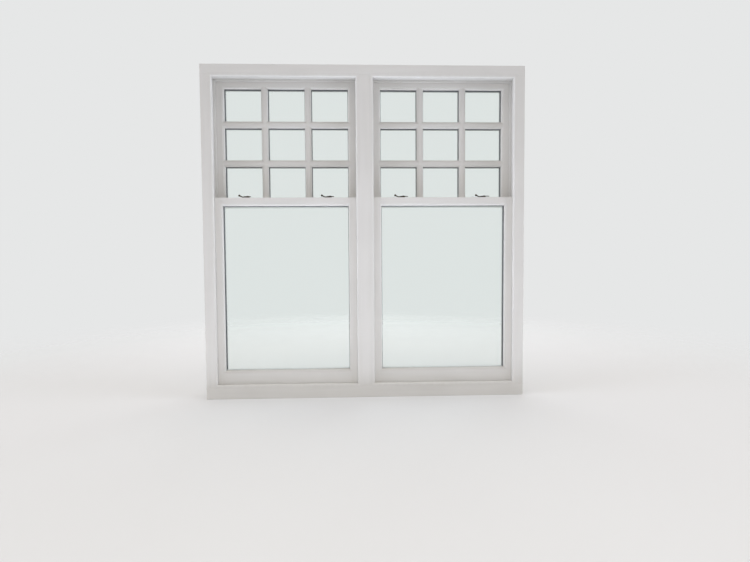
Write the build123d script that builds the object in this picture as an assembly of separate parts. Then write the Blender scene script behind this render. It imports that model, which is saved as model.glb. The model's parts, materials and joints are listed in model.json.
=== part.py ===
"""Twin timber sash window: two sliding pairs side by side in one frame, joined by a slim mullion.

Millimetres. X runs along the wall, Y from the room to the outside, Z up.
The origin is under the sill, half way along the frame and half way through its depth.
"""
import os
from math import cos, radians, sin, tan

from build123d import *

os.makedirs("parts", exist_ok=True)

# Frame members
light_width = 766.0           # clear width between a jamb and the mullion
mullion_width = 66.0
jamb_width = 45.0
head_height = 50.0
fixing_radius = 4.0           # holes for the screws that hold the jambs to the wall
fixing_inner_spacing = 450.0
fixing_outer_spacing = 1350.0
fixing_inset = 17.0           # from the outer stop to the middle of a fixing hole

# Sill
sill_seat = 62.0              # height of its inner, level part
sill_step = 6.0               # drop from the level part to the slope
sill_step_inset = 14.0        # from the lower sash's face to that drop
sill_fall = 8.0               # degrees
sill_nose = 38.0              # how far it stands out past the frame
drip_width = 8.0
drip_depth = 6.0
drip_inset = 12.0

# Beads that form the two tracks
bead_projection = 13.0        # past the face of the jamb
bead_housing = 5.0            # let into the jamb
staff_bead_depth = 16.0
staff_bead_round = 9.0
parting_bead_thickness = 8.0
parting_bead_projection = 12.0
parting_bead_housing = 10.0
outer_stop_thickness = 18.0
outer_stop_projection = 16.0
outer_stop_chamfer = 5.0

# Sashes
sash_thickness = 57.0
sash_side_gap = 2.0           # from a stile's edge to the jamb
sash_face_gap = 2.0           # from a sash to the staff bead or the outer stop
parting_gap = 1.5             # from a sash to the parting bead
head_gap = 2.0
seat_gap = 0.3                # under the lower sash when it is shut
lower_sash_height = 1000.0
upper_sash_rise = 628.0       # from the meeting rails' top to the upper sash's top
stile_width = 52.0
top_rail_height = 45.0
meeting_rail_height = 44.0
upper_meeting_drop = 1.0      # the upper sash's meeting rail is this much deeper
bottom_rail_height = 85.0
bar_width = 35.0
panes_across = 3
panes_up = 3

# Moulding and glazing
moulding_width = 10.0
moulding_quirk = 2.0          # small square step beside the round
moulding_flats = 4            # narrow faces that make up the round
tongue_depth = 16.0           # timber in front of the glass
rebate_width = 13.0
pane_thickness = 4.0
cavity_depth = 16.0
pane_edge_gap = 3.0
spacer_width = 12.0
glazing_bead_chamfer = 5.0

# Tubes, bosses and hubs are rounded off with this many flat sides
round_sides = 16

# Spiral balances in the jamb channels
channel_width = 18.0
channel_depth = 18.0
tube_radius = 8.0
tube_wall = 1.5
tube_seat_gap = 0.2
tube_top_gap = 24.0           # room for the end fitting under the head
lower_tube_length = 690.0
upper_tube_length = 600.0
end_fitting_size = 13.0
end_fitting_length = 22.0
rod_width = 7.0
rod_thickness = 1.6
lower_rod_length = 985.0
upper_rod_length = 632.0
foot_plate_thickness = 1.6
foot_plate_width = 14.0
foot_plate_height = 50.0
foot_tab_thickness = 2.5
foot_tab_width = 12.0
foot_lift = 8.0               # foot plate's lower end above the sash's lower end

# Fasteners on the meeting rails
fastener_offset = 219.0       # from the middle of the light to each fastener's middle
pivot_shift = 11.5            # pivot from that middle
pivot_inset = 48.0            # pivot behind the lower sash's face
base_length = 46.0
base_width = 20.0
base_thickness = 2.5
boss_radius = 7.0
boss_height = 2.5
hub_radius = 7.5
pin_radius = 2.5
pin_cap_radius = 4.5
pin_cap_height = 1.8
running_gap = 0.2
bore_gap = 0.08
lever_thickness = 3.6
hook_inner_radius = 29.6
hook_outer_radius = 34.0
hook_start = 245.0            # degrees round the pivot when the lever is open
hook_end = 310.0
hook_arm_angle = 10.0
hook_arm_overlap = 1.0        # of the arm with the hub and with the hook
handle_root = 5.5             # where the handle leaves the hub
handle_bend = 21.0            # where it is lowest
handle_reach = 42.0
handle_width = 5.6
handle_thickness = 4.6
handle_dip = 0.8
knob_radius = 5.5
knob_sides = 12
knob_chamfer = 2.2
knob_rise = 8.0
keeper_length = 44.0
keeper_width = 13.0
keeper_thickness = 2.5
keeper_post_inset = 23.0      # from the lever's pivot
keeper_post_depth = 4.0
keeper_post_width = 6.0
keeper_lip_gap = 0.5
keeper_lip_thickness = 2.4
keeper_lip_overhang = 0.2     # past the hook

# Draught seals
seal_width = 5.0
seal_clearance = 0.3
seal_inset = 4.0

# Allowances of the cutting tools
clear_cut = 1.0
fine_cut = 0.01

# Worked-out places
pane_unit = 2 * pane_thickness + cavity_depth
sash_gap = parting_bead_thickness + 2 * parting_gap
frame_depth = (staff_bead_depth + 2 * sash_face_gap + 2 * sash_thickness + sash_gap
               + outer_stop_thickness)
inner_face = -frame_depth / 2
outer_face = frame_depth / 2
staff_back = inner_face + staff_bead_depth
lower_front = staff_back + sash_face_gap
lower_back = lower_front + sash_thickness
parting_front = lower_back + parting_gap
upper_front = lower_back + sash_gap
upper_back = upper_front + sash_thickness
stop_front = upper_back + sash_face_gap

light_offset = (mullion_width + light_width) / 2
frame_half_width = mullion_width / 2 + light_width + jamb_width
meeting_top = sill_seat + seat_gap + lower_sash_height
upper_top = meeting_top + upper_sash_rise
soffit = upper_top + head_gap
frame_top = soffit + head_height
upper_bottom = meeting_top - meeting_rail_height - upper_meeting_drop

half_sash = light_width / 2 - sash_side_gap
half_glass = half_sash - stile_width
flat_edge = half_glass + moulding_width
rebate_edge = half_glass + rebate_width
lower_sight_top = meeting_top - meeting_rail_height
lower_sight_bottom = sill_seat + seat_gap + bottom_rail_height
upper_sight_top = upper_top - top_rail_height
upper_sight_bottom = meeting_top

pane_width = (2 * half_glass - (panes_across - 1) * bar_width) / panes_across
pane_height = (upper_sight_top - upper_sight_bottom - (panes_up - 1) * bar_width) / panes_up
bar_xs = [-half_glass + (i + 1) * pane_width + (i + 0.5) * bar_width for i in range(panes_across - 1)]
bar_zs = [upper_sight_bottom + (i + 1) * pane_height + (i + 0.5) * bar_width
          for i in range(panes_up - 1)]
bar_flat = bar_width / 2 - moulding_width
wedge_half = light_width / 2 - parting_bead_projection - parting_gap

lower_channel = (lower_front + lower_back) / 2
upper_channel = (upper_front + upper_back) / 2
tube_top = soffit - tube_top_gap
tube_x = light_width / 2 + channel_depth - tube_radius - tube_seat_gap

pivot_y = lower_front + pivot_inset
fastener_xs = [sign * fastener_offset + pivot_shift for sign in (-1, 1)]
lever_bottom = base_thickness + boss_height + running_gap
lever_top = lever_bottom + lever_thickness
lever_middle = (lever_bottom + lever_top) / 2
keeper_middle = upper_front + parting_gap + keeper_width / 2 - pivot_y

sill_step_y = lower_front + sill_step_inset
sill_nose_y = outer_face + sill_nose
slope = tan(radians(sill_fall))
hidden_level = sill_nose / 2  # a level that lies inside the sill everywhere


def prism_x(points, x0, x1):
    """Solid whose section in Y and Z is the closed outline of points."""
    face = make_face(Plane.YZ.offset(x0) * Polyline(*points, close=True))
    return extrude(face, x1 - x0, dir=(1, 0, 0))


def prism_y(points, y0, y1):
    """Solid whose outline in X and Z is given by points."""
    face = make_face(Plane.XZ.offset(-y0) * Polyline(*points, close=True))
    return extrude(face, y1 - y0, dir=(0, 1, 0))


def block(x0, x1, y0, y1, z0, z1):
    """Rectangular solid between two corners."""
    return Pos((x0 + x1) / 2, (y0 + y1) / 2, (z0 + z1) / 2) * Box(x1 - x0, y1 - y0, z1 - z0)


def section_face(plane, corners, arc):
    """Face on a plane from straight corners, closed by one three-point arc."""
    lines = Polyline(*corners) + ThreePointArc(corners[-1], arc, corners[0])
    return make_face(plane * lines)


def sill_level(y):
    """Height of the sill's slope at y."""
    return sill_seat - sill_step - (y - sill_step_y) * slope


def sill_outline(rise, shift):
    """Section of the sill, raised and with its step moved out."""
    step = sill_step_y + shift
    return [(inner_face, 0), (sill_nose_y, 0), (sill_nose_y, sill_level(sill_nose_y) + rise),
            (step, sill_level(step) + rise), (step, sill_seat + rise), (inner_face, sill_seat + rise)]


def strip(profile, side, x0, x1, z0, z1, width):
    """One mitred side of a ring of beading round the clear opening x0..x1, z0..z1.

    The profile is a face whose X is the distance out from the opening and whose Y is the depth.
    """
    if side in ("left", "right"):
        z_from, z_to = z0 - width, z1 + width
        body = extrude(Plane.XY.offset(z_from) * profile, z_to - z_from, dir=(0, 0, 1))
        if side == "left":
            body = mirror(body, Plane.YZ)
        edge, out = (x0, x0 - width) if side == "left" else (x1, x1 + width)
        body = Pos(edge, 0, 0) * body
        outline = [(edge, z0), (edge, z1), (out, z1 + width), (out, z0 - width)]
    else:
        x_from, x_to = x0 - width, x1 + width
        plane = Plane(origin=(x_from, 0, 0), x_dir=(0, 0, 1), z_dir=(-1, 0, 0))
        body = extrude(plane * profile, x_to - x_from, dir=(1, 0, 0))
        if side == "bottom":
            body = mirror(body, Plane.XY)
        edge, out = (z1, z1 + width) if side == "top" else (z0, z0 - width)
        body = Pos(0, 0, edge) * body
        outline = [(x0, edge), (x1, edge), (x1 + width, out), (x0 - width, out)]
    box = body.bounding_box()
    return body & prism_y(outline, box.min.Y - clear_cut, box.max.Y + clear_cut)


def ring(profile, sides, x0, x1, z0, z1, width):
    """The mitred sides of one ring of beading, as separate solids."""
    return [strip(profile, side, x0, x1, z0, z1, width) for side in sides]


# Frame

def staff_bead_profile():
    """Bead with a rounded inner corner; X runs from its inner edge into the jamb."""
    width = bead_projection + bead_housing
    r = staff_bead_round
    mid = (r - r * cos(radians(45)), inner_face + r - r * sin(radians(45)))
    corners = [(r, inner_face), (width, inner_face), (width, staff_back), (0, staff_back),
               (0, inner_face + r)]
    return section_face(Plane.XY, corners, mid)


def staff_beads():
    """Four mitred beads on the room side of one light."""
    x = light_width / 2 - bead_projection
    return ring(staff_bead_profile(), ("left", "right", "top", "bottom"), -x, x,
                sill_seat + bead_projection, soffit - bead_projection, bead_projection + bead_housing)


def parting_beads():
    """Three beads between the two tracks of one light."""
    width = parting_bead_projection + parting_bead_housing
    y0, y1 = parting_front, parting_front + parting_bead_thickness
    profile = make_face(Polyline((0, y0), (width, y0), (width, y1), (0, y1), close=True))
    x = light_width / 2 - parting_bead_projection
    beads = ring(profile, ("left", "right", "top"), -x, x, hidden_level + width,
                 soffit - parting_bead_projection, width)
    return [on_sill(bead) for bead in beads]


def outer_stops():
    """Three stops that hold the upper sash from outside, chamfered to the weather."""
    width, c = outer_stop_projection, outer_stop_chamfer
    profile = make_face(Polyline((0, stop_front), (width, stop_front), (width, outer_face),
                                 (c, outer_face), (0, outer_face - c), close=True))
    x = light_width / 2 - width
    stops = ring(profile, ("left", "right", "top"), -x, x, hidden_level + width, soffit - width, width)
    return [on_sill(stop) for stop in stops]


def sill():
    """Weathered sill with a drip groove under its nose."""
    body = prism_x(sill_outline(0, 0), -frame_half_width, frame_half_width)
    groove_end = sill_nose_y - drip_inset
    return body - block(-frame_half_width, frame_half_width, groove_end - drip_width, groove_end,
                        0, drip_depth)


def on_sill(body):
    """Cut a piece to stand on the sill's top."""
    end = frame_half_width + clear_cut
    return body - prism_x(sill_outline(0, 0), -end, end)


def channels(face, direction):
    """Room for the two balances in one side of a light."""
    far = face + direction * channel_depth
    cuts = []
    for y in (lower_channel, upper_channel):
        cuts.append(block(min(face, far), max(face, far), y - channel_width / 2,
                          y + channel_width / 2, hidden_level, soffit))
    return cuts


def fixing_holes(x0, x1):
    """Four holes in line up a jamb."""
    middle = (sill_seat + soffit) / 2
    holes = []
    for spacing in (fixing_inner_spacing, fixing_outer_spacing):
        for sign in (-1, 1):
            place = Pos((x0 + x1) / 2, stop_front - fixing_inset, middle + sign * spacing / 2)
            holes.append(place * Rot(0, 90, 0) * Cylinder(fixing_radius, x1 - x0 + 2 * clear_cut))
    return holes


def upright(x0, x1, cuts):
    """Jamb or mullion from the sill to the head."""
    return on_sill(block(x0, x1, inner_face, outer_face, hidden_level, soffit)) - cuts


def balance_tubes():
    """Four balance tubes of one light, with their end fittings."""
    section = RegularPolygon(tube_radius, round_sides) - RegularPolygon(tube_radius - tube_wall, round_sides)
    pieces = []
    for side in (-1, 1):
        floor = light_width / 2 + channel_depth
        ends = sorted((side * (floor - end_fitting_size), side * floor))
        for y, length in ((lower_channel, lower_tube_length), (upper_channel, upper_tube_length)):
            pieces.append(Pos(side * tube_x, y, tube_top - length) * extrude(section, length, dir=(0, 0, 1)))
            pieces.append(block(*ends, y - end_fitting_size / 2, y + end_fitting_size / 2,
                                tube_top, tube_top + end_fitting_length))
    return pieces


def track_seals():
    """Pile strips on the staff beads and outer stops of one light."""
    strips = []
    for side in (-1, 1):
        face = side * (light_width / 2 - seal_inset)
        edges = sorted((face, face - side * seal_width))
        for y0, y1 in ((staff_back, lower_front - seal_clearance),
                       (upper_back + seal_clearance, stop_front)):
            body = block(edges[0], edges[1], y0, y1, hidden_level, soffit - bead_projection)
            strips.append(on_sill(body))
    return strips


# Sashes

def ovolo(sight, front):
    """Points along the moulding's round, from the sight line to its quirk."""
    r = moulding_width - moulding_quirk
    angles = [radians(90 * i / moulding_flats) for i in range(moulding_flats + 1)]
    return [(sight + r - r * cos(a), front + moulding_quirk + r - r * sin(a)) for a in angles]


def edge_profile(width, front, moulded=True):
    """Section of a stile or rail: X is the distance out from the sight line, Y is the depth."""
    glass, back = front + tongue_depth, front + sash_thickness
    behind = [(width, front), (width, back), (rebate_width, back), (rebate_width, glass), (0, glass)]
    if not moulded:
        return make_face(Polyline((0, front), *behind, close=True))
    quirk = [(moulding_width, front + moulding_quirk), (moulding_width, front)]
    return make_face(Polyline(*ovolo(0, front), *quirk, *behind, close=True))


def bar_notch(along, edge, out):
    """Notch for a bar's mitred end in a moulding: pairs of distance along and distance across.

    The sight line is at edge, and out is the sign of the way into the timber.
    """
    wide = bar_width / 2 + fine_cut
    deep, past = edge + out * moulding_width, edge - out * fine_cut
    return [(along - bar_flat, deep), (along - wide, past), (along + wide, past), (along + bar_flat, deep)]


def front_cut(outline, front):
    """Cut of the given outline through the timber in front of the glass."""
    return prism_y(outline, front - clear_cut, front + tongue_depth)


def stile(side, front, z0, z1, sight_top, sight_bottom, foot_mitre, bars=()):
    """Full-height stile, with its moulding stopped at the rails and notched for the bars."""
    body = extrude(Plane.XY.offset(z0) * edge_profile(stile_width, front), z1 - z0, dir=(0, 0, 1))
    body = Pos(half_glass, 0, 0) * body
    far, high, low = half_glass - clear_cut, z1 + clear_cut, z0 - clear_cut
    body -= front_cut([(flat_edge, high), (flat_edge, sight_top + moulding_width),
                       (half_glass, sight_top), (far, sight_top), (far, high)], front)
    body -= front_cut([(flat_edge, low), (flat_edge, sight_bottom - foot_mitre),
                       (half_glass, sight_bottom), (far, sight_bottom), (far, low)], front)
    for bar in bars:
        body -= front_cut([(x, z) for z, x in bar_notch(bar, half_glass, 1)], front)
    return body if side > 0 else mirror(body, Plane.YZ)


def rail(sight, outer, front, mitre, bars=()):
    """Rail between the stiles: a moulded one has its moulding's width as its mitre, a plain one 0."""
    out = 1 if outer > sight else -1
    plane = Plane(origin=(-rebate_edge, 0, 0), x_dir=(0, 0, 1), z_dir=(-1, 0, 0))
    profile = edge_profile(abs(outer - sight), front, mitre > 0)
    body = extrude(plane * profile, 2 * rebate_edge, dir=(1, 0, 0))
    if out < 0:
        body = mirror(body, Plane.XY)
    shoulder = sight + out * mitre
    envelope = front_cut([(-half_glass, sight), (-flat_edge, shoulder), (-flat_edge, outer),
                          (flat_edge, outer), (flat_edge, shoulder), (half_glass, sight)], front)
    low, high = sorted((sight, outer))
    envelope += block(-rebate_edge, rebate_edge, front + tongue_depth, front + sash_thickness, low, high)
    body = Pos(0, 0, sight) * body & envelope
    for bar in bars:
        body -= front_cut(bar_notch(bar, sight, out), front)
    return body


def wedge_width(z):
    """How far the meeting joint's slope stands behind the lower sash at height z."""
    return (sash_gap - parting_gap) * (z - upper_bottom) / (meeting_top - upper_bottom)


def lower_wedge():
    """Part of the lower meeting rail that closes the gap between the sashes."""
    low = lower_sight_top + rebate_width
    return prism_x([(lower_back, low), (lower_back + wedge_width(low), low),
                    (lower_back + wedge_width(meeting_top), meeting_top), (lower_back, meeting_top)],
                   -wedge_half, wedge_half)


def upper_wedge():
    """Part of the upper meeting rail that closes the gap between the sashes."""
    return prism_x([(upper_front, upper_bottom), (upper_front, meeting_top),
                    (lower_back + parting_gap + wedge_width(upper_bottom), upper_bottom)],
                   -wedge_half, wedge_half)


def meeting_seal():
    """Pile strip on the slope of the lower meeting rail."""
    z_mid = (meeting_top + lower_sight_top) / 2
    z0, z1 = z_mid - seal_width / 2, z_mid + seal_width / 2
    thick = parting_gap - seal_clearance
    return prism_x([(lower_back + wedge_width(z0), z0), (lower_back + wedge_width(z0) + thick, z0),
                    (lower_back + wedge_width(z1) + thick, z1), (lower_back + wedge_width(z1), z1)],
                   -wedge_half, wedge_half)


def bar_profile(front):
    """Section of a glazing bar, moulded on both sides round a thin core."""
    half, core = bar_width / 2, bar_width / 2 - rebate_width
    glass, back = front + tongue_depth, front + sash_thickness
    right = [(core, back), (core, glass), (half, glass)]
    right += [(half - x, y) for x, y in ovolo(0, front)]
    right += [(bar_flat, front + moulding_quirk), (bar_flat, front)]
    left = [(-x, y) for x, y in reversed(right)]
    return make_face(Polyline(*right, *left, close=True))


def vertical_bar(x, front):
    """Bar from the meeting rail to the top rail, notched for the bars that meet it."""
    h, m = bar_width / 2, moulding_width
    z0, z1 = upper_sight_bottom - rebate_width, upper_sight_top + rebate_width
    body = extrude(Plane.XY.offset(z0) * bar_profile(front), z1 - z0, dir=(0, 0, 1))
    top = upper_sight_top
    wide, high = h + clear_cut, z1 + clear_cut
    body -= front_cut([(-wide, high), (-wide, top), (-h, top), (-bar_flat, top + m), (bar_flat, top + m),
                       (h, top), (wide, top), (wide, high)], front)
    body -= front_cut([(-wide, z0 - clear_cut), (wide, z0 - clear_cut), (wide, upper_sight_bottom),
                       (-wide, upper_sight_bottom)], front)
    for z in bar_zs:
        for side in (-1, 1):
            body -= front_cut([(x, z) for z, x in bar_notch(z, side * h, -side)], front)
    return Pos(x, 0, 0) * body


def horizontal_bar(x0, x1, z, front):
    """Bar between two uprights whose sight lines are x0 and x1, with mitred ends."""
    h, m = bar_width / 2, moulding_width
    ends = x0 - rebate_width, x1 + rebate_width
    plane = Plane(origin=(ends[0], 0, 0), x_dir=(0, 0, 1), z_dir=(-1, 0, 0))
    body = extrude(plane * bar_profile(front), ends[1] - ends[0], dir=(1, 0, 0))
    envelope = front_cut([(x0, -h), (x0 - m, -bar_flat), (x0 - m, bar_flat), (x0, h),
                          (x1, h), (x1 + m, bar_flat), (x1 + m, -bar_flat), (x1, -h)], front)
    envelope += block(*ends, front + tongue_depth, front + sash_thickness, -h, h)
    return Pos(0, 0, z) * (body & envelope)


def glass_unit(x0, x1, z0, z1, front):
    """Two panes and the spacer between them, for one sight opening."""
    edge = rebate_width - pane_edge_gap
    left, right, low, high = x0 - edge, x1 + edge, z0 - edge, z1 + edge
    y0 = front + tongue_depth
    y1, y2, y3 = y0 + pane_thickness, y0 + pane_thickness + cavity_depth, y0 + pane_unit
    panes = [block(left, right, y0, y1, low, high), block(left, right, y2, y3, low, high)]
    w = spacer_width
    spacer = block(left, right, y1, y2, low, high)
    spacer -= block(left + w, right - w, y1 - clear_cut, y2 + clear_cut, low + w, high - w)
    return panes, spacer


def glazing_beads(x0, x1, z0, z1, front):
    """Four mitred beads that hold one unit from outside."""
    y0, y1, c = front + tongue_depth + pane_unit, front + sash_thickness, glazing_bead_chamfer
    profile = make_face(Polyline((0, y0), (rebate_width, y0), (rebate_width, y1), (c, y1), (0, y1 - c),
                                 close=True))
    return ring(profile, ("left", "right", "top", "bottom"), x0, x1, z0, z1, rebate_width)


def balance_rods(y, rod_length, bottom):
    """Two rods of one sash with the feet that carry it."""
    pieces = []
    for side in (-1, 1):
        z0 = bottom + foot_lift
        leaf_out = half_sash + foot_plate_thickness
        tab_out = tube_x + tube_radius - tube_wall
        plate_edges = sorted((side * half_sash, side * leaf_out))
        tab_edges = sorted((side * leaf_out, side * tab_out))
        half = foot_plate_width / 2
        foot = block(plate_edges[0], plate_edges[1], y - half, y + half, z0, z0 + foot_plate_height)
        half = foot_tab_width / 2
        foot += block(tab_edges[0], tab_edges[1], y - half, y + half, z0, z0 + foot_tab_thickness)
        pieces.append(foot)
        rod_low = z0 + foot_tab_thickness
        pieces.append(block(side * tube_x - rod_thickness / 2, side * tube_x + rod_thickness / 2,
                            y - rod_width / 2, y + rod_width / 2, rod_low, rod_low + rod_length))
    return pieces


# Fasteners

def disc_sector(r0, r1, a0, a1, z0, z1):
    """Part of a flat ring between two angles."""
    def at(r, a):
        return (r * cos(radians(a)), r * sin(radians(a)))
    mid = (a0 + a1) / 2
    edges = Polyline(at(r0, a0), at(r1, a0)) + ThreePointArc(at(r1, a0), at(r1, mid), at(r1, a1))
    edges += Polyline(at(r1, a1), at(r0, a1)) + ThreePointArc(at(r0, a1), at(r0, mid), at(r0, a0))
    return extrude(Plane.XY.offset(z0) * make_face(edges), z1 - z0, dir=(0, 0, 1))


def flat_plate(length, width, thickness):
    """Plate with rounded ends, standing on Z = 0."""
    return extrude(SlotOverall(length, width), thickness, dir=(0, 0, 1))


def stub(radius, z0, z1):
    """Upright piece, round but for its flat sides."""
    return extrude(Plane.XY.offset(z0) * RegularPolygon(radius, round_sides), z1 - z0, dir=(0, 0, 1))


def at_fasteners(body):
    """The piece at each fastener of one light, from its place measured from the pivot."""
    return [Pos(x, pivot_y, meeting_top) * body for x in fastener_xs]


def fastener_bases():
    """Base plates with boss and pivot pin."""
    body = flat_plate(base_length, base_width, base_thickness)
    pin_low = base_thickness + boss_height
    pin_high = lever_top + running_gap
    body += stub(boss_radius, base_thickness, pin_low)
    body += Pos(0, 0, (pin_low + pin_high) / 2) * Cylinder(pin_radius, pin_high - pin_low)
    body += stub(pin_cap_radius, pin_high, pin_high + pin_cap_height)
    return at_fasteners(body)


def fastener_levers():
    """Levers, open: handle towards -X, hook on the room side of the pivot."""
    body = stub(hub_radius, lever_bottom, lever_top)
    body += disc_sector(hook_inner_radius, hook_outer_radius, hook_start, hook_end, lever_bottom, lever_top)
    body += disc_sector(hub_radius - hook_arm_overlap, hook_inner_radius + hook_arm_overlap, hook_start,
                        hook_start + hook_arm_angle, lever_bottom, lever_top)
    under = [(-handle_root, lever_bottom), (-handle_bend, lever_bottom - handle_dip),
             (-handle_reach, lever_bottom + knob_rise)]
    over = [(x, z + handle_thickness) for x, z in reversed(under)]
    body += prism_y(under + over, -handle_width / 2, handle_width / 2)
    knob = extrude(RegularPolygon(knob_radius, knob_sides), knob_radius, both=True)
    rims = knob.edges().group_by(Axis.Z)
    place = Pos(-handle_reach, 0, lever_bottom + handle_thickness / 2 + knob_rise) * Rot(0, 90, 0)
    body += place * chamfer(rims[0] + rims[-1], knob_chamfer)
    body -= stub(hub_radius, 0, lever_bottom)
    body -= Pos(0, 0, lever_middle) * Cylinder(pin_radius + bore_gap, 2 * lever_thickness)
    return at_fasteners(body)


def keepers():
    """Keeper plates with a lipped post that the hook passes behind and under."""
    y0, half = keeper_post_inset, keeper_post_width / 2
    lip_low = lever_top + keeper_lip_gap
    lip_high = lip_low + keeper_lip_thickness
    body = Pos(0, keeper_middle, 0) * flat_plate(keeper_length, keeper_width, keeper_thickness)
    body += block(-half, half, y0, y0 + keeper_post_depth, keeper_thickness, lip_high)
    body += block(-half, half, y0, hook_outer_radius + keeper_lip_overhang, lip_low, lip_high)
    return at_fasteners(body)


def lower_sash():
    """Pieces of one lower sash by name."""
    front = lower_front
    clear = prism_x(sill_outline(seat_gap, parting_gap), -light_width, light_width)
    m, z0 = moulding_width, hidden_level
    panes, spacer = glass_unit(-half_glass, half_glass, lower_sight_bottom, lower_sight_top, front)
    pieces = {
        "bottom_rail": rail(lower_sight_bottom, z0, front, m) - clear,
        "meeting_rail": rail(lower_sight_top, meeting_top, front, m) + lower_wedge(),
        "panes": panes,
        "spacer": spacer,
        "glazing_beads": glazing_beads(-half_glass, half_glass, lower_sight_bottom, lower_sight_top, front),
        "balance_rods": balance_rods(lower_channel, lower_rod_length, sill_seat + seat_gap),
        "fastener_bases": fastener_bases(),
        "meeting_seal": meeting_seal(),
    }
    for name, side in (("stile_left", -1), ("stile_right", 1)):
        pieces[name] = stile(side, front, z0, meeting_top, lower_sight_top, lower_sight_bottom, m) - clear
    return pieces


def upper_sash():
    """Pieces of one upper sash by name."""
    front = upper_front
    vertical = [vertical_bar(x, front) for x in bar_xs]
    lefts = [-half_glass] + [x + bar_width / 2 for x in bar_xs]
    rights = [x - bar_width / 2 for x in bar_xs] + [half_glass]
    lows = [upper_sight_bottom] + [z + bar_width / 2 for z in bar_zs]
    highs = [z - bar_width / 2 for z in bar_zs] + [upper_sight_top]
    horizontal = [horizontal_bar(x0, x1, z, front) for z in bar_zs for x0, x1 in zip(lefts, rights)]
    panes, spacers, beads = [], [], []
    for x0, x1 in zip(lefts, rights):
        for z0, z1 in zip(lows, highs):
            unit, spacer = glass_unit(x0, x1, z0, z1, front)
            panes += unit
            spacers.append(spacer)
            beads += glazing_beads(x0, x1, z0, z1, front)
    pieces = {
        "top_rail": rail(upper_sight_top, upper_top, front, moulding_width, bar_xs),
        "meeting_rail": rail(upper_sight_bottom, upper_bottom, front, 0) + upper_wedge(),
        "vertical_bars": vertical,
        "horizontal_bars": horizontal,
        "panes": panes,
        "spacers": spacers,
        "glazing_beads": beads,
        "balance_rods": balance_rods(upper_channel, upper_rod_length, upper_bottom),
        "keepers": keepers(),
    }
    for name, side in (("stile_left", -1), ("stile_right", 1)):
        pieces[name] = stile(side, front, upper_bottom, upper_top, upper_sight_top, upper_sight_bottom, 0,
                             bar_zs)
    return pieces


def as_list(item):
    """Flat list of the solids in a piece or a list of pieces."""
    if isinstance(item, (list, tuple)):
        return [solid for part in item for solid in as_list(part)]
    return list(item.solids())


nodes = {}


def add(name, item, place=Pos(0, 0, 0)):
    """Keep a sub-part under its name, moved into place."""
    nodes[name] = Compound(children=[place * solid for solid in as_list(item)])


def build():
    """Make every sub-part."""
    staff, parting, stops = staff_beads(), parting_beads(), outer_stops()
    tubes, seals = balance_tubes(), track_seals()
    lower, upper, levers = lower_sash(), upper_sash(), fastener_levers()
    half_light = light_width / 2
    lights = (("left", -light_offset), ("right", light_offset))
    all_seals, housed, cuts = [], [], []
    for light, x in lights:
        place = Pos(x, 0, 0)
        housed += [place * body for body in staff]
        cuts += [place * body for body in parting]
        cuts += channels(x - half_light, -1) + channels(x + half_light, 1)
        add(f"{light}_staff_beads", staff, place)
        add(f"{light}_parting_beads", parting, place)
        add(f"{light}_outer_stops", stops, place)
        add(f"{light}_balance_tubes", tubes, place)
        all_seals += [place * body for body in seals]
        for sash, pieces in (("lower", lower), ("upper", upper)):
            for name, item in pieces.items():
                add(f"{light}_{sash}_{name}", item, place)
        for number, lever in enumerate(levers, 1):
            add(f"{light}_lever_{number}", lever, place)
    add("draught_seals", all_seals)
    inner = mullion_width / 2 + light_width
    add("frame_sill", sill() - housed)
    cuts += housed
    add("mullion", upright(-mullion_width / 2, mullion_width / 2, cuts))
    add("jamb_left", upright(-frame_half_width, -inner, cuts + fixing_holes(-frame_half_width, -inner)))
    add("jamb_right", upright(inner, frame_half_width, cuts + fixing_holes(inner, frame_half_width)))
    head = block(-frame_half_width, frame_half_width, inner_face, outer_face, soffit, frame_top)
    add("frame_head", head - cuts)


build()
for name, shape in nodes.items():
    export_step(shape, f"parts/{name}.step")
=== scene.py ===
"""Surfaces, small fittings and light for the twin timber sash window.

Metres, in the frame of the solids: X runs along the window, Y from the room to the outside, Z up.
"""
import json
import math

import bmesh
import bpy
from mathutils import Matrix, Vector

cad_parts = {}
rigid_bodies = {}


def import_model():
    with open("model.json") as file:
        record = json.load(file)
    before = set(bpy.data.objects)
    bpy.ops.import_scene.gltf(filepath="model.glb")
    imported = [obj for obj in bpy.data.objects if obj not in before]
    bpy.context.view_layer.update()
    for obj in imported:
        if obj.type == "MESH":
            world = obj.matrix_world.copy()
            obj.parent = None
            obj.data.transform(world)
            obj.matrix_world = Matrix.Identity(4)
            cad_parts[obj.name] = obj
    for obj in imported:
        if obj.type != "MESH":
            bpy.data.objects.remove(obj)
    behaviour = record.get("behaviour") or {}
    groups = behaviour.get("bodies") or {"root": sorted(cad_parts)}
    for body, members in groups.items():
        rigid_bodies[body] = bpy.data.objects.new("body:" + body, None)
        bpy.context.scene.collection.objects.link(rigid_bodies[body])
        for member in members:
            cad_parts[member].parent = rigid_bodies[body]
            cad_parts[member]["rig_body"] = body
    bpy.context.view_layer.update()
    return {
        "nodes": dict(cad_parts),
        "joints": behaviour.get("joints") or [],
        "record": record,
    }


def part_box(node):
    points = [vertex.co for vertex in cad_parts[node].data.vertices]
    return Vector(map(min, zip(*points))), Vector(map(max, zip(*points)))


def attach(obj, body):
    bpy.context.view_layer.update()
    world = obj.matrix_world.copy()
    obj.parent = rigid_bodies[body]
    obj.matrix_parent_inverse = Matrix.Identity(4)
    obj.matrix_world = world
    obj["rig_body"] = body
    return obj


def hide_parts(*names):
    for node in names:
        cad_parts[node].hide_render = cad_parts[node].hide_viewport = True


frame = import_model()

MM = 0.001

LIGHTS = ("left", "right")

# Corners of a node's loose triangles that are nearer than this are one corner
SAME_PLACE = 0.004 * MM

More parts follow.
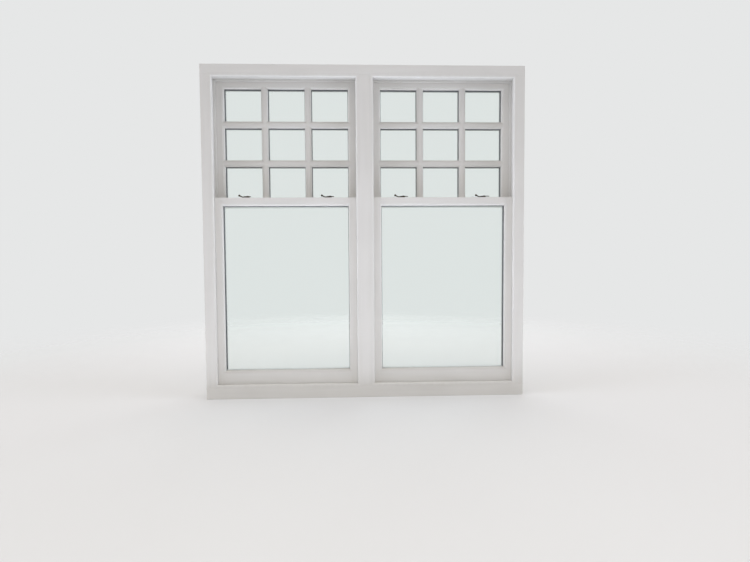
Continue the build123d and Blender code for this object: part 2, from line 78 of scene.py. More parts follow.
# How far the arrises of each kind of piece are rounded
PAINTED_ARRIS = 0.7 * MM
STAFF_BEAD_ARRIS = 1.8 * MM
SEALANT_ARRIS = 0.8 * MM
TUBE_ARRIS = 0.4 * MM
FOOT_ARRIS = 0.3 * MM
PLATE_ARRIS = 0.45 * MM
HUB_ARRIS = 0.6 * MM
WEB_ARRIS = 0.5 * MM

# Glass units and the fillet of sealant along each one's foot
PANE_THICKNESS = 4 * MM
PANE_COVER = 10 * MM            # of a pane's edge, hidden by the rebate and its moulding
SEALANT = 2.4 * MM
SEALANT_TUCK = 0.3 * MM

# Spiral balances: tubes with end fittings, twisted rods on feet
TUBE_RADIUS = 8 * MM
TUBE_WALL = 1.5 * MM
FITTING_LONGEST = 100 * MM      # what is longer is a tube
ROD_WIDTH = 7 * MM
ROD_THICKNESS = 1.6 * MM
ROD_PITCH = 28 * MM
STEPS_A_TURN = 12
FOOT_PLATE = Vector((1.6, 14, 50)) * MM
TAB_WIDTH = 12 * MM
TAB_THICKNESS = 2.5 * MM
FOOT_SCREW_RISES = (16 * MM, 40 * MM)

# Fasteners, their heights measured from the top of the meeting rail
PLATE_LENGTH = 46 * MM
PLATE_WIDTH = 20 * MM
PLATE_THICKNESS = 2.5 * MM      # of the keepers' plates too
RUNNING_GAP = 0.2 * MM
COLLAR_RADIUS = 7 * MM
PIN_RADIUS = 2.5 * MM
CAP_RADIUS = 5 * MM
CAP_FLATNESS = 0.4
LEVER_BOTTOM = 5.2 * MM
LEVER_TOP = 8.8 * MM
HUB_RADIUS = 7.5 * MM
BOSS_RADIUS = 9.5 * MM
BOSS_TOP = 12.4 * MM
BOSS_OVERLAP = 0.8 * MM
HOOK_RADII = (29.6 * MM, 34 * MM)
HOOK_ANGLES = (245, 310)        # degrees round the pivot, with the lever open
WEB_ANGLE = 10
WEB_OVERLAP = 1 * MM
WEB_INSET = 0.3 * MM
BALL_RADIUS = 5.5 * MM
# Rings of the arm in mm: distance from the pivot, height, half width and half thickness
ARM_RINGS = (
    (5.5, 8.9, 5.6, 3.6), (10, 8.9, 5.4, 3.6), (15, 8.7, 4.8, 3.4), (19, 8.0, 4.2, 3.1),
    (23, 7.4, 3.8, 2.8), (27, 7.8, 3.5, 2.8), (32, 9.7, 3.2, 2.9), (37, 12.2, 3.1, 3.0),
    (41, 14.2, 3.2, 3.1), (44.5, 15.9, 3.6, 3.6),
)

# Screws, as the radius and the rise of their heads, and how far they stand from a fastener's middle
FITTING_SCREW = (3.6 * MM, 1.4 * MM)
FOOT_SCREW = (3.2 * MM, 0.7 * MM)
BRASS_SCREW = (2.7 * MM, 0.7 * MM)
PLATE_SCREW_REACH = 17 * MM
KEEPER_SCREW_REACH = 15 * MM

# Sockets of a Mix node that mixes colours, by number because it has others of the same names
FACTOR, COLOUR_A, COLOUR_B, COLOUR_OUT = 0, 6, 7, 2


def linear(code):
    """Linear colour from an sRGB hex code."""
    parts = [int(code[i:i + 2], 16) / 255 for i in (1, 3, 5)]
    return tuple(p / 12.92 if p <= 0.04045 else ((p + 0.055) / 1.055) ** 2.4 for p in parts) + (1.0,)


# Materials

def add(tree, kind, inputs=(), **settings):
    """Adds a node with its settings; an input is given a value or the socket that feeds it.

    Inputs go by name, or by number where a node has several of one name.
    """
    made = tree.nodes.new("ShaderNode" + kind)
    for key, value in settings.items():
        setattr(made, key, value)
    for key, value in dict(inputs).items():
        if isinstance(value, bpy.types.NodeSocket):
            tree.links.new(value, made.inputs[key])
        else:
            made.inputs[key].default_value = value
    return made


def empty_material(name):
    """A material with nothing but its output."""
    material = bpy.data.materials.new(name)
    material.use_nodes = True
    material.node_tree.nodes.clear()
    tree = material.node_tree
    return material, tree, add(tree, "OutputMaterial")


def painted_timber(name, along):
    """Satin acrylic paint brushed along planed softwood: soft sheen, faint bristle lines, and painted shade
    that darkens the corners and joints.

    along is 0, 1 or 2 for the axis that the brush followed.
    """
    material, tree, output = empty_material(name)
    bristle_scale = [1 / (1.6 * MM)] * 3      # bristle lines about 1.6 mm apart, drawn out along the stroke
    bristle_scale[along] = 1 / (90 * MM)
    lap_scale = [1 / (22 * MM)] * 3           # a stroke's overlaps, about a brush's width
    lap_scale[along] = 1 / (320 * MM)
    place = add(tree, "TexCoord").outputs["Object"]
    stroke = add(tree, "Mapping", {"Vector": place, "Scale": bristle_scale})
    lap = add(tree, "Mapping", {"Vector": place, "Scale": lap_scale})
    bristles = add(tree, "TexNoise", {"Vector": stroke.outputs[0], "Scale": 1.0, "Detail": 3.0,
                                      "Roughness": 0.6}).outputs[0]
    laps = add(tree, "TexNoise", {"Vector": lap.outputs[0], "Scale": 1.0, "Detail": 1.0}).outputs[0]
    cloud = add(tree, "TexNoise", {"Vector": place, "Scale": 1 / (260 * MM), "Detail": 2.0}).outputs[0]
    cloudy = add(tree, "MapRange", {"Value": cloud, "From Min": 0.3, "From Max": 0.7})
    fresh = add(tree, "Mix", {FACTOR: cloudy.outputs[0], COLOUR_A: linear("#D7D5D0"),
                              COLOUR_B: linear("#D2D0CB")}, data_type="RGBA")
    streaks = add(tree, "MapRange", {"Value": laps, "From Min": 0.35, "From Max": 0.7, "To Max": 0.35})
    streaked = add(tree, "Mix", {FACTOR: streaks.outputs[0], COLOUR_A: fresh.outputs[COLOUR_OUT],
                                 COLOUR_B: linear("#DCDAD6")}, data_type="RGBA")
    # Painted shade: an ambient occlusion mask darkens the paint towards #9C9993 in corners, creases and
    # joints, where shade falls.
    corner = add(tree, "AmbientOcclusion", {"Distance": 4 * MM}, samples=8)
    painted_corner_shade = add(tree, "MapRange", {"Value": corner.outputs["AO"], "From Min": 0.3, "From Max": 0.85,
                                    "To Min": 0.4, "To Max": 0.0})
    colour = add(tree, "Mix", {FACTOR: painted_corner_shade.outputs[0], COLOUR_A: streaked.outputs[COLOUR_OUT],
                               COLOUR_B: linear("#9C9993")}, data_type="RGBA")
    height = add(tree, "Math", {0: bristles, 1: laps}, operation="ADD")
    arris = add(tree, "Bevel", {"Radius": 0.5 * MM}, samples=4)
    relief = add(tree, "Bump", {"Height": height.outputs[0], "Distance": 0.06 * MM, "Strength": 0.6,
                                "Normal": arris.outputs["Normal"]})
    satin = add(tree, "MapRange", {"Value": laps, "From Min": 0.3, "From Max": 0.7, "To Min": 0.34,
                                   "To Max": 0.46})
    shader = add(tree, "BsdfPrincipled", {
        "Base Color": colour.outputs[COLOUR_OUT], "Roughness": satin.outputs[0], "IOR": 1.48,
        "Normal": relief.outputs["Normal"]})
    tree.links.new(shader.outputs[0], output.inputs["Surface"])
    return material


def float_glass(name):
    """Clear float glass: sharp mirror-like surface, faint green tint, lets the lamps through."""
    material, tree, output = empty_material(name)
    shader = add(tree, "BsdfPrincipled", {"Base Color": linear("#FAFDFC"), "Roughness": 0.0, "IOR": 1.52,
                                          "Transmission Weight": 1.0})
    clear = add(tree, "BsdfTransparent", {"Color": linear("#F6F9F8")})
    path = add(tree, "LightPath")
    mix = add(tree, "MixShader", {0: path.outputs["Is Shadow Ray"], 1: shader.outputs[0],
                                  2: clear.outputs[0]})
    tree.links.new(mix.outputs[0], output.inputs["Surface"])
    return material


def mottled(name, base, dark, size, roughness, metallic=0.0, relief=0.02 * MM, sheen=0.0):
    """A surface whose colour and roughness wander between two values over patches of a real size."""
    material, tree, output = empty_material(name)
    place = add(tree, "TexCoord").outputs["Object"]
    patches = add(tree, "TexNoise", {"Vector": place, "Scale": 1 / size, "Detail": 4.0, "Roughness": 0.6})
    fine = add(tree, "TexNoise", {"Vector": place, "Scale": 5 / size, "Detail": 2.0})
    share = add(tree, "MapRange", {"Value": patches.outputs[0], "From Min": 0.35, "From Max": 0.65})
    colour = add(tree, "Mix", {FACTOR: share.outputs[0], COLOUR_A: linear(base), COLOUR_B: linear(dark)},
                 data_type="RGBA")
    gloss = add(tree, "MapRange", {"Value": patches.outputs[0], "From Min": 0.3, "From Max": 0.7,
                                   "To Min": roughness * 0.85, "To Max": roughness * 1.2})
    bump = add(tree, "Bump", {"Height": fine.outputs[0], "Distance": relief, "Strength": 0.5})
    shader = add(tree, "BsdfPrincipled", {
        "Base Color": colour.outputs[COLOUR_OUT], "Metallic": metallic, "Sheen Weight": sheen,
        "Roughness": gloss.outputs[0], "Normal": bump.outputs["Normal"]})
    tree.links.new(shader.outputs[0], output.inputs["Surface"])
    return material


def edge_spacer(name):
    """Warm-edge spacer of dark grey polymer, satin, with a painted highlight: pale where it faces up, for the
    light that falls on its top, and bare where it faces down or aside."""
    material, tree, output = empty_material(name)
    place = add(tree, "TexCoord").outputs["Object"]
    facing = add(tree, "SeparateXYZ", {0: add(tree, "NewGeometry").outputs["Normal"]})
    grain = add(tree, "TexNoise", {"Vector": place, "Scale": 1 / (3 * MM), "Detail": 2.0})
    share = add(tree, "MapRange", {"Value": grain.outputs[0], "From Min": 0.3, "From Max": 0.7})
    bare = add(tree, "Mix", {FACTOR: share.outputs[0], COLOUR_A: linear("#50545A"),
                             COLOUR_B: linear("#474A50")}, data_type="RGBA")
    # Painted highlight: faces that point up are mixed towards pale #F0F1F2, standing for the light that falls
    # on them.
    painted_top_light = add(tree, "MapRange", {"Value": facing.outputs["Z"], "From Min": 0.3, "From Max": 0.8})
    colour = add(tree, "Mix", {FACTOR: painted_top_light.outputs[0], COLOUR_A: bare.outputs[COLOUR_OUT],
                               COLOUR_B: linear("#F0F1F2")}, data_type="RGBA")
    shader = add(tree, "BsdfPrincipled", {"Base Color": colour.outputs[COLOUR_OUT], "Roughness": 0.5})
    tree.links.new(shader.outputs[0], output.inputs["Surface"])
    return material


paint_upright = painted_timber("satin_paint_brushed_upright", 2)
paint_level = painted_timber("satin_paint_brushed_level", 0)
glass = float_glass("clear_float_glass")
spacer_bar = edge_spacer("grey_polymer_spacer")
# White extruded PVC: even colour, soft gloss.
white_pvc = mottled("white_pvc_tube", "#DADAD7", "#D2D2CE", size=40 * MM, roughness=0.3)
# Bright zinc plating on pressed steel: pale grey, slightly mottled.
zinc = mottled("zinc_plated_steel", "#B9BABA", "#A2A4A6", size=5 * MM, roughness=0.34,
               metallic=1.0)
# Cast brass aged to bronze: dark brown in the hollows, golden where hands rub it.
aged_brass = mottled("aged_cast_brass", "#4E4029", "#2A2217", size=7 * MM, roughness=0.42,
                     metallic=1.0, relief=0.04 * MM)
# Woven pile seal: matt grey fibres with a soft edge.
pile = mottled("grey_pile_seal", "#A3A29D", "#7F7E7A", size=1.2 * MM, roughness=0.9,
               relief=0.3 * MM, sheen=0.4)

FINISHES = {
    "painted_timber": (paint_upright, paint_level), "clear_glass": (glass,), "edge_spacer": (spacer_bar,),
    "balance_tube": (white_pvc,), "plated_steel": (zinc,), "aged_brass": (aged_brass,), "pile_seal": (pile,),
}
slots = {row["node"]: row["material_slot"] for row in frame["record"]["subparts"]}


# Pieces

def keep_piece(name, bm, materials, body, replaced=(), smooth=30):
    """Turns a bmesh into a piece that rides on a body and stands for some nodes."""
    mesh = bpy.data.meshes.new(name)
    bm.to_mesh(mesh)
    bm.free()
    for material in materials:
        mesh.materials.append(material)
    mesh.shade_smooth()
    mesh.set_sharp_from_angle(angle=math.radians(smooth))
    piece = bpy.data.objects.new(name, mesh)
    bpy.context.scene.collection.objects.link(piece)
    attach(piece, body)
    if replaced:
        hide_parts(*replaced)
    return piece


def separate_solids(bm):
    """The solids of a bmesh that don't touch, as lists of faces."""
    found, solids = set(), []
    for first in bm.faces:
        if first in found:
            continue
        found.add(first)
        solid = [first]
        for face in solid:                      # the list grows while it is walked
            for edge in face.edges:
                for other in edge.link_faces:
                    if other not in found:
                        found.add(other)
                        solid.append(other)
        solids.append(solid)
    return solids


def extent(faces):
    """Lowest and highest corner of some faces."""
    points = [v.co for face in faces for v in face.verts]
    return Vector(map(min, zip(*points))), Vector(map(max, zip(*points)))


def stands_up(faces):
    """True if a solid is longer upright than along the window."""
    low, high = extent(faces)
    return high.z - low.z > high.x - low.x


def merged_copy(name):
    """A node's mesh with its loose triangles joined and its flat faces made whole."""
    bm = bmesh.new()
    bm.from_mesh(frame["nodes"][name].data)
    bmesh.ops.remove_doubles(bm, verts=bm.verts, dist=SAME_PLACE)
    bmesh.ops.dissolve_limit(bm, angle_limit=math.radians(0.4), verts=bm.verts, edges=bm.edges)
    return bm


def soften(piece, width, segments=2):
    """Rounds a piece's arrises with a small bevel."""
    ease = piece.modifiers.new("ease", "BEVEL")
    ease.width = width
    ease.segments = segments
    ease.limit_method = "ANGLE"
    ease.angle_limit = math.radians(28)
    ease.harden_normals = True


def eased(name, width):
    """A node's shape with rounded arrises, in its own finish."""
    bm = merged_copy(name)
    slot = slots[name]
    if slot == "painted_timber":
        for solid in separate_solids(bm):
            index = 0 if stands_up(solid) else 1
            for face in solid:
                face.material_index = index
    else:
        for face in bm.faces:
            face.material_index = 0
    piece = keep_piece(name + "_eased", bm, FINISHES[slot], frame["nodes"][name]["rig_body"], [name])
    soften(piece, width)


def box(bm, corner, opposite):
    """Rectangular block between two opposite corners."""
    corner, opposite = Vector(corner), Vector(opposite)
    size = Matrix.Diagonal([abs(length) for length in opposite - corner] + [1])
    bmesh.ops.create_cube(bm, size=1, matrix=Matrix.Translation((corner + opposite) / 2) @ size)


def pane_fillets(name):
    """Painted fillets of sealant along the foot of each pane, placed by the spacers between the panes."""
    spacers, bm = merged_copy(name), bmesh.new()
    for ring in separate_solids(spacers):
        low, high = extent(ring)
        pane_face = low.y - PANE_THICKNESS
        sight = low.z + PANE_COVER
        box(bm, (low.x + PANE_COVER, pane_face - SEALANT, sight - SEALANT_TUCK),
            (high.x - PANE_COVER, pane_face, sight + SEALANT))
    spacers.free()
    piece = keep_piece(name + "_fillets", bm, (paint_level,), frame["nodes"][name]["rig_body"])
    soften(piece, SEALANT_ARRIS)


def screw_head(bm, place, size, turn):
    """Domed countersunk head with a cross recess, its axis along the place's Z."""
    radius, rise = size
    top, arm, half = radius * 0.72, radius * 0.5, radius * 0.13
    made = bmesh.ops.create_cone(bm, cap_ends=True, segments=20, radius1=radius, radius2=top, depth=rise,
                                 matrix=Matrix.Translation((0, 0, rise / 2)))
    faces = list({f for v in made["verts"] for f in v.link_faces})
    for axis in ((1, 0, 0), (0, 1, 0)):
        for shift in (-arm, -half, half, arm):
            edges, verts = {e for f in faces for e in f.edges}, {v for f in faces for v in f.verts}
            cut = bmesh.ops.bisect_plane(bm, geom=[*faces, *edges, *verts], plane_co=Vector(axis) * shift,
                                         plane_no=axis)
            faces = [g for g in cut["geom"] if isinstance(g, bmesh.types.BMFace)]
    recess = []
    for face in faces:
        middle = face.calc_center_median()
        on_top = abs(face.normal.z) > 0.9 and middle.z > rise * 0.9
        x, y = abs(middle.x), abs(middle.y)
        if on_top and ((x < half and y < arm) or (y < half and x < arm)):
            recess.append(face)
    sunk = bmesh.ops.extrude_face_region(bm, geom=recess)
    sunk = [g for g in sunk["geom"] if isinstance(g, bmesh.types.BMVert)]
    bmesh.ops.translate(bm, verts=sunk, vec=(0, 0, -rise * 0.8))
    bmesh.ops.delete(bm, geom=recess, context="FACES")
    head = {v for f in faces if f.is_valid for v in f.verts} | set(sunk)
    bmesh.ops.transform(bm, matrix=place @ Matrix.Rotation(turn, 4, "Z"), verts=list(head))


def tube(bm, x, y, z0, z1):
    """Round tube with a real wall, open at both ends."""
    made = bmesh.ops.create_cone(bm, cap_ends=False, segments=36, radius1=TUBE_RADIUS, radius2=TUBE_RADIUS,
                                 depth=z1 - z0, matrix=Matrix.Translation((x, y, (z0 + z1) / 2)))
    faces = list({f for v in made["verts"] for f in v.link_faces})
    bmesh.ops.solidify(bm, geom=faces, thickness=TUBE_WALL)


def sweep(bm, corners, centre, angle, steps, rise=0.0):
    """Turns a flat section about an upright axis, raising it on the way, and closes both ends."""
    section = bm.faces.new([bm.verts.new(corner) for corner in corners])
    swept = bmesh.ops.spin(bm, geom=list(section.edges), cent=centre, axis=(0, 0, 1),
                           dvec=(0, 0, rise / steps), angle=angle, steps=steps)
    bmesh.ops.contextual_create(bm, geom=[g for g in swept["geom_last"] if isinstance(g, bmesh.types.BMVert)])


def twisted_strip(bm, x, y, z0, z1):
    """Flat strip twisted about its own length."""
    turns = (z1 - z0) / ROD_PITCH
    corners = [(x + along * ROD_THICKNESS / 2, y + across * ROD_WIDTH / 2, z0)
               for along, across in ((-1, -1), (1, -1), (1, 1), (-1, 1))]
    sweep(bm, corners, (x, y, 0), 2 * math.pi * turns, int(turns * STEPS_A_TURN), z1 - z0)


def balance_tubes(light):
    """Round tubes of the spiral balances with their end fittings and screws, in place of the plain ones."""
    name = f"{light}_balance_tubes"
    plain, bm, screws = merged_copy(name), bmesh.new(), bmesh.new()
    low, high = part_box(name)
    centre = (low.x + high.x) / 2
    for solid in separate_solids(plain):
        low, high = extent(solid)
        middle = (low + high) / 2
        if high.z - low.z > FITTING_LONGEST:
            tube(bm, middle.x, middle.y, low.z, high.z)
            continue
        box(bm, low, high)
        side = math.copysign(1, middle.x - centre)
        face = low.x if side > 0 else high.x
        place = Matrix.Translation((face, middle.y, middle.z)) @ Matrix.Rotation(-side * math.pi / 2, 4, "Y")
        screw_head(screws, place, FITTING_SCREW, 0.6 * side + 40 * middle.y)
    plain.free()
    bmesh.ops.recalc_face_normals(bm, faces=bm.faces)
    piece = keep_piece(name + "_round", bm, (white_pvc,), "frame", [name])
    soften(piece, TUBE_ARRIS)
    keep_piece(f"{light}_balance_screws", screws, (zinc,), "frame")


def balance_rods(light, sash):
    """Twisted rods of one sash with the feet that carry it, in place of the plain ones."""
    body = f"{light}_{sash}_sash"
    plain = f"{light}_{sash}_balance_rods"
    low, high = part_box(plain)
    y = (low.y + high.y) / 2
    foot = low.z
    sash_edges = (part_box(f"{light}_{sash}_stile_left")[0].x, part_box(f"{light}_{sash}_stile_right")[1].x)
    bm, rods = bmesh.new(), bmesh.new()
    for side, edge, tab_end in zip((-1, 1), sash_edges, (low.x, high.x)):
        leaf = edge + side * FOOT_PLATE.x
        box(bm, (edge, y - FOOT_PLATE.y / 2, foot), (leaf, y + FOOT_PLATE.y / 2, foot + FOOT_PLATE.z))
        box(bm, (leaf, y - TAB_WIDTH / 2, foot), (tab_end, y + TAB_WIDTH / 2, foot + TAB_THICKNESS))
        for rise in FOOT_SCREW_RISES:
            place = Matrix.Translation((leaf, y, foot + rise)) @ Matrix.Rotation(side * math.pi / 2, 4, "Y")
            screw_head(rods, place, FOOT_SCREW, rise * 90)
        rod_x = tab_end - side * (TUBE_RADIUS - TUBE_WALL)
        twisted_strip(rods, rod_x, y, foot + TAB_THICKNESS, high.z)
    bmesh.ops.recalc_face_normals(rods, faces=rods.faces)
    feet = keep_piece(f"{light}_{sash}_rod_feet", bm, (zinc,), body)
    soften(feet, FOOT_ARRIS)
    keep_piece(f"{light}_{sash}_twisted_rods", rods, (zinc,), body, [plain],
               smooth=50)


def lever_pivots(light):
    """Each lever of a light, with the point under its pivot on top of the meeting rail."""
    rail_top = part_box(f"{light}_lower_meeting_rail")[1].z
    return {joint["child"]: Vector((*joint["pos_m"][:2], rail_top)) for joint in frame["joints"]
            if joint["type"] == "hinge" and joint["child"].startswith(light)}


def disc(bm, place, radius, z0, z1, segments=40):
    """Round piece standing on a place, between two heights above it."""
    bmesh.ops.create_cone(bm, cap_ends=True, segments=segments, radius1=radius, radius2=radius, depth=z1 - z0,
                          matrix=Matrix.Translation(place + Vector((0, 0, (z0 + z1) / 2))))


def rounded_plate(bm, place):
    """Plate with half-round ends: a circle drawn apart along X, then raised."""
    sides = 48
    made = bmesh.ops.create_circle(bm, cap_ends=True, segments=sides, radius=PLATE_WIDTH / 2,
                                   matrix=Matrix.Rotation(math.pi / sides, 4, "Z"))
    for v in made["verts"]:
        v.co.x += math.copysign((PLATE_LENGTH - PLATE_WIDTH) / 2, v.co.x)
    bmesh.ops.translate(bm, verts=made["verts"], vec=place)
    raised = bmesh.ops.extrude_face_region(bm, geom=[made["verts"][0].link_faces[0]], use_keep_orig=True)
    bmesh.ops.translate(bm, verts=[g for g in raised["geom"] if isinstance(g, bmesh.types.BMVert)],
                        vec=(0, 0, PLATE_THICKNESS))


def pin_cap(bm, place):
    """Low dome on top of the pin."""
    dome = bmesh.ops.create_uvsphere(bm, u_segments=32, v_segments=16, radius=CAP_RADIUS)["verts"]
    bmesh.ops.delete(bm, geom=[v for v in dome if v.co.z < -1e-7], context="VERTS")
    dome = [v for v in dome if v.is_valid]
    bmesh.ops.transform(bm, matrix=Matrix.Translation(place) @ Matrix.Diagonal((1, 1, CAP_FLATNESS, 1)),
                        verts=dome)
    bmesh.ops.edgeloop_fill(bm, edges=list({e for v in dome for e in v.link_edges if e.is_boundary}))


def fastener_bases(light):
    """Base plates, each with a collar under the lever, and a pin with a domed cap."""
    bm = bmesh.new()
    for pivot in lever_pivots(light).values():
        rounded_plate(bm, pivot)
        collar_top, pin_top = LEVER_BOTTOM - RUNNING_GAP, BOSS_TOP + RUNNING_GAP
        disc(bm, pivot, COLLAR_RADIUS, PLATE_THICKNESS, collar_top)
        disc(bm, pivot, PIN_RADIUS, collar_top, pin_top, 24)
        pin_cap(bm, pivot + Vector((0, 0, pin_top)))
    bmesh.ops.recalc_face_normals(bm, faces=bm.faces)
    piece = keep_piece(f"{light}_fastener_plates", bm, (aged_brass,), f"{light}_lower_sash",
                       [f"{light}_lower_fastener_bases"])
    soften(piece, PLATE_ARRIS)


def fastener_screws(light):
    """Brass screws through the base plates and the keepers, each left at its own angle."""
    low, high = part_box(f"{light}_upper_keepers")
    keeper_y = (low.y + high.y) / 2
    base_screws, keeper_screws = bmesh.new(), bmesh.new()
    for i, pivot in enumerate(lever_pivots(light).values()):
        top = pivot.z + PLATE_THICKNESS
        for side in (-1, 1):
            place = Matrix.Translation((pivot.x + side * PLATE_SCREW_REACH, pivot.y, top))
            screw_head(base_screws, place, BRASS_SCREW, 0.5 + i + side * 0.7)
            place = Matrix.Translation((pivot.x + side * KEEPER_SCREW_REACH, keeper_y, top))
            screw_head(keeper_screws, place, BRASS_SCREW, 1.1 - i + side * 0.4)
    keep_piece(f"{light}_base_screws", base_screws, (aged_brass,), f"{light}_lower_sash")
    keep_piece(f"{light}_keeper_screws", keeper_screws, (aged_brass,), f"{light}_upper_sash")


def flat_ring_part(bm, pivot, radii, angles, heights, steps):
    """Part of a flat ring round the pivot, from one angle in degrees to the other."""
    turned = Matrix.Translation(pivot) @ Matrix.Rotation(math.radians(angles[0]), 4, "Z")
    corners = [turned @ Vector((radii[i], 0, heights[j])) for i, j in ((0, 0), (1, 0), (1, 1), (0, 1))]
    sweep(bm, corners, pivot, math.radians(angles[1] - angles[0]), steps)


def lever_hub(name, pivot):
    """Hub with the raised boss on it, and the hook, which is a part of a ring."""
    bm = bmesh.new()
    disc(bm, pivot, HUB_RADIUS, LEVER_BOTTOM, LEVER_TOP)
    disc(bm, pivot, BOSS_RADIUS, LEVER_TOP - BOSS_OVERLAP, BOSS_TOP)
    flat_ring_part(bm, pivot, HOOK_RADII, HOOK_ANGLES, (LEVER_BOTTOM, LEVER_TOP), 14)
    bmesh.ops.recalc_face_normals(bm, faces=bm.faces)
    hub = keep_piece(name + "_hub", bm, (aged_brass,), name, [name])
    soften(hub, HUB_ARRIS, segments=3)


def lever_web(name, pivot):
    """Web from the hub to the hook, a little thinner than both."""
    bm = bmesh.new()
    flat_ring_part(bm, pivot, (HUB_RADIUS - WEB_OVERLAP, HOOK_RADII[0] + WEB_OVERLAP),
                   (HOOK_ANGLES[0], HOOK_ANGLES[0] + WEB_ANGLE),
                   (LEVER_BOTTOM + WEB_INSET, LEVER_TOP - WEB_INSET), 3)
    bmesh.ops.recalc_face_normals(bm, faces=bm.faces)
    web = keep_piece(name + "_web", bm, (aged_brass,), name)
    soften(web, WEB_ARRIS)


def lever_arm(name, pivot):
    """Tapered arm that dips from the hub and rises to a ball, as rings drawn along its line."""
    bm, rings = bmesh.new(), []
    for i, (reach, height, half_width, half_thickness) in enumerate(ARM_RINGS):
        before, after = ARM_RINGS[max(i - 1, 0)], ARM_RINGS[min(i + 1, len(ARM_RINGS) - 1)]
        slope = math.atan2(after[1] - before[1], after[0] - before[0])
        place = (Matrix.Translation(pivot + Vector((-reach, 0, height)) * MM)
                 @ Matrix.Rotation(slope + math.pi / 2, 4, "Y")
                 @ Matrix.Diagonal((half_thickness * MM, half_width * MM, 1, 1)))
        made = bmesh.ops.create_circle(bm, cap_ends=False, segments=20, radius=1, matrix=place)
        rings.append(list({e for v in made["verts"] for e in v.link_edges}))
    for first, second in zip(rings, rings[1:]):
        bmesh.ops.bridge_loops(bm, edges=first + second)
    for ring in (rings[0], rings[-1]):
        bmesh.ops.edgeloop_fill(bm, edges=ring)
    reach, height = ARM_RINGS[-1][:2]
    bmesh.ops.create_uvsphere(bm, u_segments=28, v_segments=18, radius=BALL_RADIUS,
                              matrix=Matrix.Translation(pivot + Vector((-reach, 0, height)) * MM))
    bmesh.ops.recalc_face_normals(bm, faces=bm.faces)
    keep_piece(name + "_arm", bm, (aged_brass,), name)


for name, slot in sorted(slots.items()):
    if name.endswith("staff_beads"):
        eased(name, STAFF_BEAD_ARRIS)
    elif slot == "painted_timber":
        eased(name, PAINTED_ARRIS)
    elif name.endswith("keepers"):
        eased(name, PLATE_ARRIS)
    else:
        node = frame["nodes"][name]
        node.data.materials.clear()
        node.data.materials.append(FINISHES[slot][0])
        if slot == "edge_spacer":
            pane_fillets(name)

for light in LIGHTS:
    balance_tubes(light)
    balance_rods(light, "lower")
    balance_rods(light, "upper")
    fastener_bases(light)
    fastener_screws(light)
    for name, pivot in lever_pivots(light).items():
        lever_hub(name, pivot)
        lever_web(name, pivot)
        lever_arm(name, pivot)


# Floor, light and camera

BACKDROP = "#E6E7E7"
WINDOW_MIDDLE = (0, 0, 0.9)


def shown_ray(tree):
    """1 for the rays that show the surroundings, 0 for those that only gather their light."""
    path = add(tree, "LightPath")
    mirror = add(tree, "Math", {0: path.outputs["Is Camera Ray"], 1: path.outputs["Is Glossy Ray"]},
                 operation="MAXIMUM")
    return add(tree, "Math", {0: mirror.outputs[0], 1: path.outputs["Is Transmission Ray"]},
               operation="MAXIMUM").outputs[0]


def stage_floor():
    """Pale floor that keeps the window's shadow and fades into the backdrop some metres away."""
    bm = bmesh.new()
    bmesh.ops.create_circle(bm, cap_ends=True, segments=64, radius=8)
    mesh = bpy.data.meshes.new("floor")
    bm.to_mesh(mesh)
    bm.free()
    material, tree, output = empty_material("pale_floor")
    shader = add(tree, "BsdfPrincipled", {"Base Color": linear(BACKDROP), "Roughness": 0.9,
                                          "Specular IOR Level": 0.0})
    clear = add(tree, "BsdfTransparent")
    coords = add(tree, "TexCoord")
    distance = add(tree, "VectorMath", {0: coords.outputs["Object"]}, operation="LENGTH").outputs["Value"]
    fade = add(tree, "MapRange", {"Value": distance, "From Min": 1.3, "From Max": 4.2},
               interpolation_type="SMOOTHSTEP").outputs["Result"]
    mix = add(tree, "MixShader", {0: fade, 1: shader.outputs[0], 2: clear.outputs[0]})
    tree.links.new(mix.outputs[0], output.inputs["Surface"])
    mesh.materials.append(material)
    floor = bpy.data.objects.new("floor", mesh)
    bpy.context.scene.collection.objects.link(floor)


def lamp(name, place, aim, size, power, colour, spread=180, mirrored=True):
    """Soft rectangular lamp that points at a place. It isn't seen itself, except as a gloss if mirrored."""
    data = bpy.data.lights.new(name, "AREA")
    data.shape = "RECTANGLE"
    data.size, data.size_y = size
    data.energy = power
    data.color = linear(colour)[:3]
    data.spread = math.radians(spread)
    made = bpy.data.objects.new(name, data)
    made.location = place
    made.rotation_euler = (Vector(aim) - Vector(place)).to_track_quat("-Z", "Y").to_euler()
    made.visible_camera = False
    made.visible_transmission = False
    made.visible_glossy = mirrored
    bpy.context.scene.collection.objects.link(made)


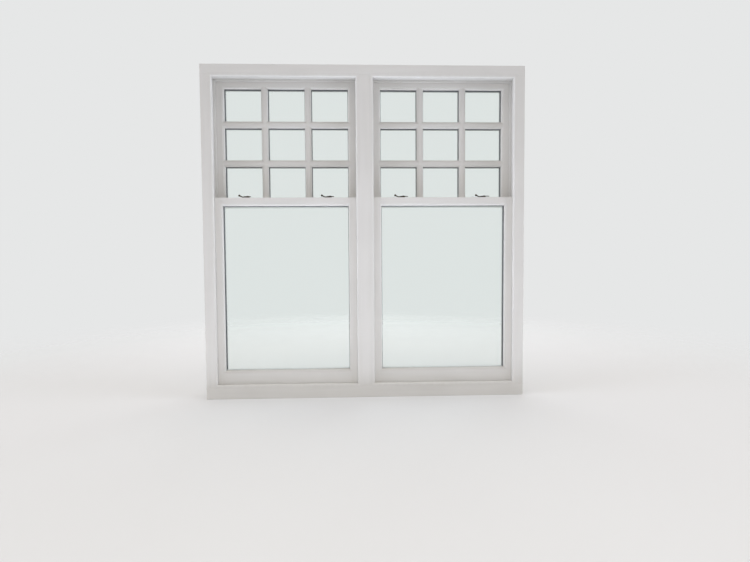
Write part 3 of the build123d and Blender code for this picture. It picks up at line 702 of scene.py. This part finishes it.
def studio_world():
    """Soft dome, brighter overhead, and brighter and cooler from both sides indoors.

    The rays that show the surroundings see the plain backdrop instead.
    """
    world = bpy.data.worlds.new("studio")
    bpy.context.scene.world = world
    world.use_nodes = True
    tree = world.node_tree
    tree.nodes.clear()

    way = add(tree, "SeparateXYZ", {0: add(tree, "TexCoord").outputs["Generated"]})
    level = add(tree, "Math", {0: way.outputs["X"]}, operation="ABSOLUTE")
    aside = add(tree, "MapRange", {"Value": level.outputs[0], "From Min": 0.7, "From Max": 0.95,
                                   "To Max": 4.5}, interpolation_type="SMOOTHSTEP")
    room = add(tree, "MapRange", {"Value": way.outputs["Y"], "From Min": -0.1, "From Max": 0.1,
                                  "To Min": 1.0, "To Max": 0.12})
    sides = add(tree, "Math", {0: aside.outputs[0], 1: room.outputs[0]}, operation="MULTIPLY")
    overhead = add(tree, "MapRange", {"Value": way.outputs["Z"], "From Min": 0.5, "From Max": 0.95,
                                      "To Max": 1.25}, interpolation_type="SMOOTHSTEP")
    parts = [add(tree, "Background", {"Color": linear("#FFFAF5"), "Strength": 0.1}),
             add(tree, "Background", {"Color": linear("#FFF9F2"), "Strength": overhead.outputs[0]}),
             add(tree, "Background", {"Color": linear("#E6EBFA"), "Strength": sides.outputs[0]})]
    dome = parts[0].outputs[0]
    for part in parts[1:]:
        dome = add(tree, "AddShader", {0: dome, 1: part.outputs[0]}).outputs[0]
    backdrop = add(tree, "Background", {"Color": linear(BACKDROP), "Strength": 1.0})
    around = add(tree, "MixShader", {0: shown_ray(tree), 1: dome, 2: backdrop.outputs[0]})
    add(tree, "OutputWorld", {"Surface": around.outputs[0]})


def room_camera():
    """Wide camera in the room, its place and turn worked out from the window's own lines."""
    camera = bpy.data.objects.new("camera", bpy.data.cameras.new("camera"))
    camera.data.lens = 24
    camera.data.sensor_width = 36
    camera.data.sensor_fit = "HORIZONTAL"
    right = Vector((0.999319, -0.036329, -0.006486))
    down = Vector((-0.00822, -0.047786, -0.998824))
    ahead = Vector((0.035977, 0.998197, -0.048052))
    turned = Matrix((right, -down, -ahead)).transposed().to_4x4()
    camera.matrix_world = Matrix.Translation((-0.0456, -2.7221, 0.7473)) @ turned
    bpy.context.scene.collection.objects.link(camera)
    bpy.context.scene.camera = camera


stage_floor()
studio_world()
# Warm light from high up in the room, which models the mouldings
lamp("key", (-2.8, -3.2, 3.9), WINDOW_MIDDLE, (2.4, 2.4), 10, "#FFF1E2")
# Cool daylight from high up outside, which draws the glass and the outer edges
lamp("back", (2.4, 4.4, 4.2), WINDOW_MIDDLE, (2.6, 2.6), 44, "#F4F7FF")
# Cool light thrown up from just in front of the sill, for the undersides
lamp("bounce", (0, -0.42, 0.02), (0, -0.42, 1), (2.0, 0.6), 7, "#E2E9FC", spread=95, mirrored=False)
# Broad light on each face, kept out of the panes and the brass
lamp("fill", (0.4, -5, 1.5), WINDOW_MIDDLE, (2.6, 2.2), 36, "#FFFAF4", mirrored=False)
lamp("outer_fill", (-0.4, 5, 1.6), WINDOW_MIDDLE, (2.6, 2.2), 58, "#F6F9FF", mirrored=False)
room_camera()
bpy.context.scene.view_settings.view_transform = "Standard"
